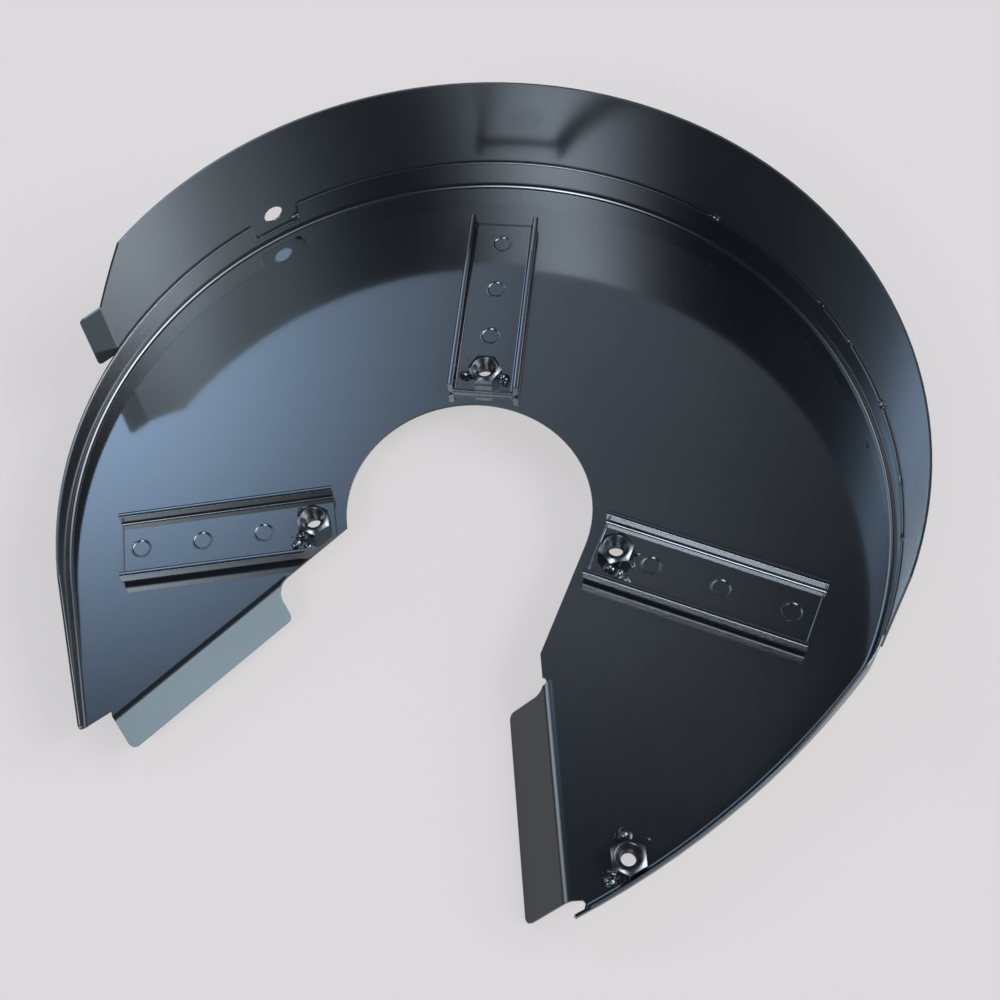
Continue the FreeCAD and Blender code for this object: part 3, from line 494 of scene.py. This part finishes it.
add_piece("nut_rings", join([nut_ring(nut_seat(side)) for side in BEAD_LUMPS]), SHEET_PAINT)
add_piece("spot_weld_rings", spot_rings(), SHEET_PAINT, crease=50.0)
add_piece("nut_threads", join([nut_thread(nut_seat(side)) for side in BEAD_LUMPS]), NUT_PAINT)


# Rounded edges of the rim and the rails

def angle_of(vector):
    """Direction of a vector in the floor's plane, in degrees."""
    return math.degrees(math.atan2(vector[1], vector[0]))


def ways(angles):
    """Unit directions in the floor's plane for a row of angles."""
    turn = np.radians(angles)
    return np.stack([np.cos(turn), np.sin(turn), np.zeros_like(turn)], axis=-1)


def rim_path():
    """Outside line of the pan: straight flank, circle, knee and flat stretch.

    Gives the points, the outward directions and the rim's height there: level round the circle, low in the
    notch, and falling in straight lines along the flank and the flat stretch.
    """
    outside = RIM_RADIUS + PAN_SHEET
    flat_centre = way(FLAT_ANGLE) * (outside - FLAT_DEPTH - FLAT_RADIUS)
    gap = np.linalg.norm(flat_centre)
    near = outside - KNEE_RADIUS
    far = FLAT_RADIUS - KNEE_RADIUS
    turn = math.degrees(math.acos((near ** 2 + gap ** 2 - far ** 2) / (2 * near * gap)))
    knee_centre = way(angle_of(flat_centre) - turn) * near
    knee_start = angle_of(knee_centre)
    knee_end = angle_of(knee_centre - flat_centre)

    run = np.linspace(FLANK_LENGTH - 1.0, 0.0, 60, endpoint=False)
    flank_out = np.broadcast_to(way(FLANK_ANGLE), (len(run), 3))
    flank = run[:, None] * way(FLANK_ANGLE + 90) + flank_out * outside
    notch_start = NOTCH_ANGLE + NOTCH_HALF_ANGLE
    notch_end = NOTCH_ANGLE - NOTCH_HALF_ANGLE
    step = 0.01
    angles = np.concatenate([np.linspace(FLANK_ANGLE, notch_start + step, 240),
                             np.linspace(notch_start, notch_end, 30),
                             np.linspace(notch_end - step, knee_start, 480, endpoint=False)])
    circle = ways(angles)
    knee = ways(np.linspace(knee_start, knee_end, 60, endpoint=False))
    flat = ways(np.linspace(knee_end, TIP_TURN, 160))
    flat_points = flat_centre + flat * FLAT_RADIUS

    in_notch = (angles <= notch_start) & (angles >= notch_end)
    along_flat = flat_points @ way(FLAT_ANGLE - 90)
    taper = [along_flat[0], along_flat[0] + TAPER_LENGTH, along_flat[-1]]
    heights = np.concatenate([np.interp(run, [0.0, FLANK_LENGTH], [RIM_HEIGHT, CORNER_RIM_HEIGHT]),
                              np.where(in_notch, NOTCH_FLOOR, RIM_HEIGHT),
                              np.full(len(knee), RIM_HEIGHT),
                              np.interp(along_flat, taper, [RIM_HEIGHT, LOW_RIM_HEIGHT, TIP_RIM_HEIGHT])])
    points = np.concatenate([flank, circle * outside, knee_centre + knee * KNEE_RADIUS, flat_points])
    return points, np.concatenate([flank_out, circle, knee, flat]), heights


def rim_face():
    """Painted inside of the rim, carried along it: hollow bend on the floor, straight wall, rounded top edge.

    The bend is a quarter circle, the top edge half an oval, and the back lies inside the sheet.
    """
    points, outwards, heights = rim_path()
    turn = np.linspace(0.0, math.pi / 2, 12)
    over = np.linspace(0.0, math.pi, 13)
    wall = PAN_SHEET + RIM_PROUD
    inset = np.concatenate([wall + SEEN_BEND * (1 - np.sin(turn)), [wall, wall],
                            wall / 2 * (1 + np.cos(over)), [0.6, 1.1, 1.1, wall + SEEN_BEND]])
    rise = np.concatenate([RIM_LIFT + SEEN_BEND * (1 - np.cos(turn)), [SEEN_BEND + 0.3, -0.7],
                           RIM_LIP * np.sin(over) - RIM_LIP_BASE, [-0.6, -1.2, -0.4, -0.4]])
    on_top = np.concatenate([np.zeros(13), np.ones(16), [0.0, 0.0]])
    level = rise[None, :] + heights[:, None] * on_top[None, :]
    rings = points[:, None] - outwards[:, None] * inset[None, :, None] + UP * level[..., None]
    return tube(rings[:, ::-1])


def rail_lip(side, lateral, start):
    """Rounded top of a rail's wall: half an oval with its flat inside the sheet, carried along the wall."""
    along = way(RAIL_ANGLES[side])
    aside = way(RAIL_ANGLES[side] + 90)
    turn = np.linspace(0.0, math.pi, 15)
    across = np.concatenate([RAIL_SHEET / 2 * np.cos(turn), [0.05 - RAIL_SHEET / 2, RAIL_SHEET / 2 - 0.05]])
    rise = np.concatenate([RAIL_LIP * np.sin(turn), [-0.6, -0.6]])
    run = np.linspace(start, RAIL_START + RAIL_LENGTH, 30)
    rings = (run[:, None, None] * along + (lateral + across)[None, :, None] * aside
             + (RAIL_HEIGHT + rise)[None, :, None] * UP)
    return tube(rings)


def rail_lips():
    """Rounded tops of all six rail walls; one of the left rail's starts where the rail's corner is cut."""
    lateral = (RAIL_WIDTH - RAIL_SHEET) / 2
    lips = []
    for side in RAIL_ANGLES:
        lips.append(rail_lip(side, -lateral, RAIL_START))
        lips.append(rail_lip(side, lateral, LEFT_RAIL_CUT if side == "left" else RAIL_START))
    return join(lips)


def rail_end(side, run, inwards):
    """Rounded end of a rail's floor: a circle just proud of the sheet's corner, carried across the rail."""
    along = way(RAIL_ANGLES[side])
    aside = way(RAIL_ANGLES[side] + 90)
    turn = np.linspace(0.0, 2 * math.pi, 24, endpoint=False)
    middle = along * (run + inwards * END_INSET) + UP * (RAIL_SHEET - END_INSET)
    circle = END_RADIUS * (np.cos(turn)[:, None] * along + np.sin(turn)[:, None] * UP)
    half = RAIL_WIDTH / 2 - RAIL_SHEET + 0.5
    across = np.linspace(half, -half, 12)
    return tube(middle + across[:, None, None] * aside + circle[None])


def rail_ends():
    """Rounded end edges of the rails' floors; the left rail's inner end is cut away."""
    ends = []
    for side in RAIL_ANGLES:
        ends.append(rail_end(side, RAIL_START + RAIL_LENGTH, -1))
        if side != "left":
            ends.append(rail_end(side, RAIL_START, 1))
    return join(ends)


add_piece("rail_ends", rail_ends(), SHEET_PAINT, crease=50.0)
add_piece("rim_face", rim_face(), RIM_PAINT, crease=50.0)
add_piece("rail_lips", rail_lips(), SHEET_PAINT, crease=50.0)


# Floor, light and camera

FLOOR_SIZE = 8.0
CAMERA_SHARE = 0.75
MIRROR_SHARE = 0.8


def make_floor():
    """Wide level sheet under the part: it keeps the shadow, and is dimmer in the paint than to the camera."""
    half = FLOOR_SIZE / 2
    low = CAD_LOW.z
    mesh = bpy.data.meshes.new("floor")
    corners = [(-half, -half, low), (half, -half, low), (half, half, low), (-half, half, low)]
    mesh.from_pydata(corners, [], [(0, 1, 2, 3)])
    floor = bpy.data.objects.new("floor", mesh)
    bpy.context.scene.collection.objects.link(floor)
    material = bpy.data.materials.new("pale_floor")
    material.use_nodes = True
    tree = material.node_tree
    tree.nodes.clear()
    out = tree.nodes.new("ShaderNodeOutputMaterial")
    matt = tree.nodes.new("ShaderNodeBsdfDiffuse")
    matt.inputs["Color"].default_value = FLOOR_MATT
    glow = tree.nodes.new("ShaderNodeEmission")
    glow.inputs["Color"].default_value = BACKGROUND
    rays = tree.nodes.new("ShaderNodeLightPath")
    dim = tree.nodes.new("ShaderNodeEmission")
    dim.inputs["Color"].default_value = FLOOR_MIRRORED
    mix = tree.nodes.new("ShaderNodeMixShader")
    tree.links.new(maths(tree, "MULTIPLY", rays.outputs["Is Camera Ray"], CAMERA_SHARE), mix.inputs["Fac"])
    tree.links.new(matt.outputs[0], mix.inputs[1])
    tree.links.new(glow.outputs[0], mix.inputs[2])
    mirror = tree.nodes.new("ShaderNodeMixShader")
    tree.links.new(maths(tree, "MULTIPLY", rays.outputs["Is Glossy Ray"], MIRROR_SHARE), mirror.inputs["Fac"])
    tree.links.new(mix.outputs[0], mirror.inputs[1])
    tree.links.new(dim.outputs[0], mirror.inputs[2])
    tree.links.new(mirror.outputs[0], out.inputs["Surface"])
    mesh.materials.append(material)


make_floor()

# Soft glows of the room: direction, tightness, colour, heights where the glow starts and ends to fade
NO_FADE = (2.0, 3.0)
ROOM_BASE = (0.030, 0.036, 0.042)
ROOM_GLOWS = [
    ((0.70, 0.12, 0.70), 14.0, (9.0, 9.9, 11.0), (0.772, 0.796)),
    ((0.48, -0.32, 0.82), 70.0, (1.75, 2.3, 2.65), NO_FADE),
    ((0.63, -0.02, 0.775), 70.0, (3.4, 4.2, 5.0), NO_FADE),
    ((-0.20, -0.63, 0.75), 51.0, (9.4, 11.0, 13.0), (0.755, 0.795)),
    ((-0.20, -0.44, 0.87), 90.0, (14.0, 16.0, 18.4), (0.890, 0.899)),
    ((-0.36, 0.51, 0.78), 70.0, (2.0, 2.9, 4.2), NO_FADE),
    ((-0.05, 0.64, 0.76), 45.0, (0.34, 0.40, 0.48), NO_FADE),
    ((-0.85, 0.25, 0.45), 30.0, (2.0, 2.3, 2.6), NO_FADE),
    ((-0.022, 0.423, 0.905), 250.0, (0.15, 0.165, 0.185), NO_FADE),
]


def make_room():
    """Room light: an even base plus soft round glows, each falling off with the angle from its direction."""
    world = bpy.data.worlds.new("room")
    bpy.context.scene.world = world
    world.use_nodes = True
    tree = world.node_tree
    tree.nodes.clear()
    out = tree.nodes.new("ShaderNodeOutputWorld")
    place = tree.nodes.new("ShaderNodeTexCoord")
    colour = None
    upwards = tree.nodes.new("ShaderNodeSeparateXYZ")
    tree.links.new(place.outputs["Generated"], upwards.inputs[0])
    for towards, tight, glow, fade in ROOM_GLOWS:
        axis = np.array(towards) / np.linalg.norm(towards)
        dot = tree.nodes.new("ShaderNodeVectorMath")
        dot.operation = "DOT_PRODUCT"
        tree.links.new(place.outputs["Generated"], dot.inputs[0])
        dot.inputs[1].default_value = tuple(axis)
        power = maths(tree, "MULTIPLY", maths(tree, "SUBTRACT", dot.outputs["Value"], 1.0), tight)
        share = maths(tree, "EXPONENT", power, 0.0)
        share = maths(tree, "MULTIPLY", share, ramp(tree, upwards.outputs["Z"], *fade, 1.0, 0.0))
        scale = tree.nodes.new("ShaderNodeVectorMath")
        scale.operation = "MULTIPLY_ADD"
        tree.links.new(share, scale.inputs[0])
        scale.inputs[1].default_value = glow
        if colour is None:
            scale.inputs[2].default_value = ROOM_BASE
        else:
            tree.links.new(colour, scale.inputs[2])
        colour = scale.outputs["Vector"]
    light = tree.nodes.new("ShaderNodeBackground")
    tree.links.new(colour, light.inputs["Color"])
    backdrop = tree.nodes.new("ShaderNodeBackground")
    backdrop.inputs["Color"].default_value = BACKGROUND
    rays = tree.nodes.new("ShaderNodeLightPath")
    mix = tree.nodes.new("ShaderNodeMixShader")
    tree.links.new(rays.outputs["Is Camera Ray"], mix.inputs["Fac"])
    tree.links.new(light.outputs[0], mix.inputs[1])
    tree.links.new(backdrop.outputs[0], mix.inputs[2])
    tree.links.new(mix.outputs[0], out.inputs["Surface"])


make_room()

CAMERA_PLACE = (91.03 * MM, -417.59 * MM, 773.88 * MM)
CAMERA_TURN = (27.0753, 6.9139, 8.4950)
CAMERA_LENS = 57.725
CAMERA_SHIFT = (0.15, 0.06)


def make_camera():
    """Camera at the photograph's angle."""
    data = bpy.data.cameras.new("camera")
    data.sensor_width = 36.0
    data.lens = CAMERA_LENS
    data.shift_x, data.shift_y = CAMERA_SHIFT
    data.clip_start = 0.01
    data.clip_end = 50.0
    camera = bpy.data.objects.new("camera", data)
    camera.location = CAMERA_PLACE
    camera.rotation_euler = Euler([math.radians(turn) for turn in CAMERA_TURN], "XYZ")
    bpy.context.scene.collection.objects.link(camera)
    bpy.context.scene.camera = camera


make_camera()
bpy.context.scene.view_settings.view_transform = "Standard"
